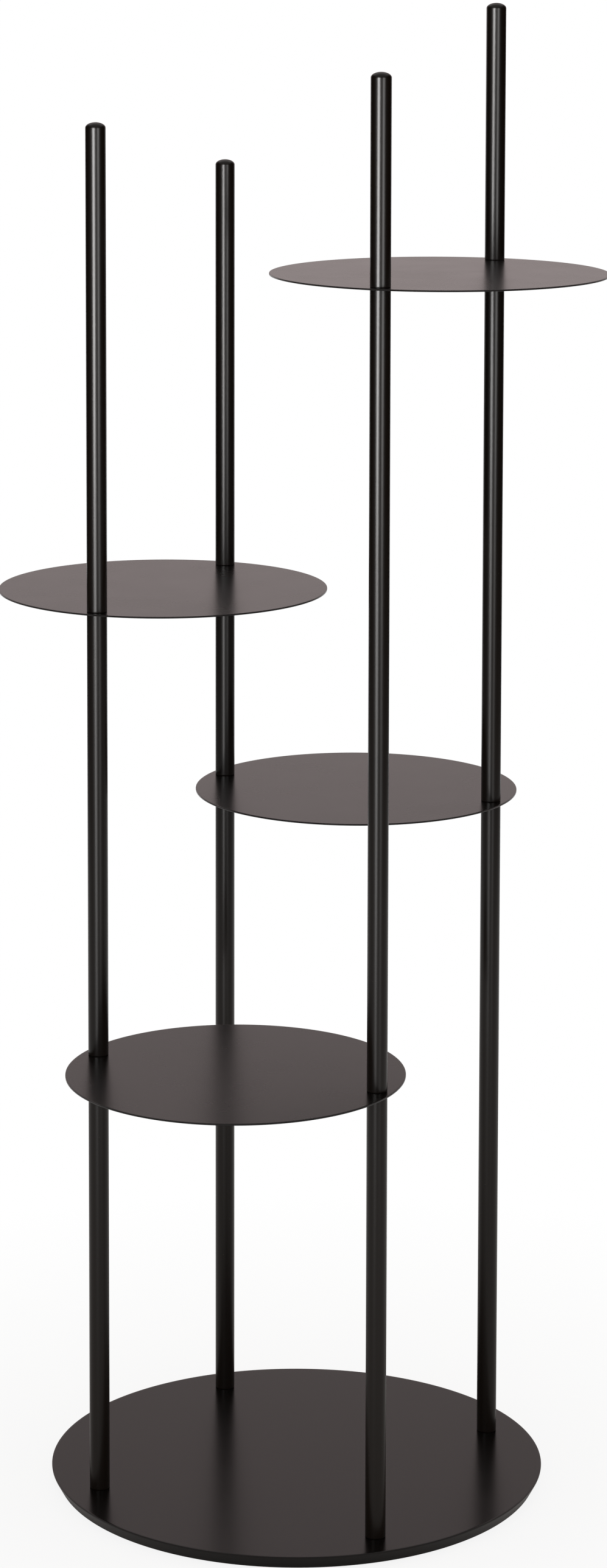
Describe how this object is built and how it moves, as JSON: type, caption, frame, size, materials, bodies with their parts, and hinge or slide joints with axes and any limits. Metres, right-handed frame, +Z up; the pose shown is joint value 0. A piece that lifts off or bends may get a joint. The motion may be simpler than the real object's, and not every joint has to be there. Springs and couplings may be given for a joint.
{
  "type": "tiered plant stand",
  "caption": "Tall plant stand: a round base carries round posts, and thin round trays are clamped between their tubes at staggered heights.",
  "frame": {"origin": "middle of the footprint on the floor, under the centre of the square of posts", "axes": "+Z up, -Y towards the side that holds the lowest tray, +X towards the side that holds the highest tray"},
  "size_m": [0.57, 0.57, 1.35],
  "materials": {
    "black_powder_coat": "satin, very fine texture",
    "zinc_plated_steel": "turned",
    "black_rubber": "matte"
  },
  "bodies": {
    "root": {"tube_front_left_lower": "black_powder_coat", "tube_front_left_middle": "black_powder_coat", "tube_front_left_upper": "black_powder_coat", "end_cap_front_left": "black_powder_coat", "tube_rear_left_lower": "black_powder_coat", "tube_rear_left_middle": "black_powder_coat", "tube_rear_left_upper": "black_powder_coat", "end_cap_rear_left": "black_powder_coat", "tube_front_right_lower": "black_powder_coat", "tube_front_right_middle": "black_powder_coat", "tube_front_right_upper": "black_powder_coat", "end_cap_front_right": "black_powder_coat", "tube_rear_right_lower": "black_powder_coat", "tube_rear_right_middle": "black_powder_coat", "tube_rear_right_upper": "black_powder_coat", "end_cap_rear_right": "black_powder_coat", "tray_lowest": "black_powder_coat", "tray_lower": "black_powder_coat", "tray_upper": "black_powder_coat", "tray_highest": "black_powder_coat", "base_plate": "black_powder_coat", "stud_plug_front_left_middle": "zinc_plated_steel", "stud_plug_front_left_upper": "zinc_plated_steel", "insert_front_left_foot": "zinc_plated_steel", "insert_front_left_lower": "zinc_plated_steel", "insert_front_left_middle": "zinc_plated_steel", "base_bolt_front_left": "zinc_plated_steel", "stud_plug_rear_left_middle": "zinc_plated_steel", "stud_plug_rear_left_upper": "zinc_plated_steel", "insert_rear_left_foot": "zinc_plated_steel", "insert_rear_left_lower": "zinc_plated_steel", "insert_rear_left_middle": "zinc_plated_steel", "base_bolt_rear_left": "zinc_plated_steel", "stud_plug_front_right_middle": "zinc_plated_steel", "stud_plug_front_right_upper": "zinc_plated_steel", "insert_front_right_foot": "zinc_plated_steel", "insert_front_right_lower": "zinc_plated_steel", "insert_front_right_middle": "zinc_plated_steel", "base_bolt_front_right": "zinc_plated_steel", "stud_plug_rear_right_middle": "zinc_plated_steel", "stud_plug_rear_right_upper": "zinc_plated_steel", "insert_rear_right_foot": "zinc_plated_steel", "insert_rear_right_lower": "zinc_plated_steel", "insert_rear_right_middle": "zinc_plated_steel", "base_bolt_rear_right": "zinc_plated_steel", "foot_pad_front": "black_rubber", "foot_pad_right": "black_rubber", "foot_pad_rear": "black_rubber", "foot_pad_left": "black_rubber"}
  },
  "joints": []
}
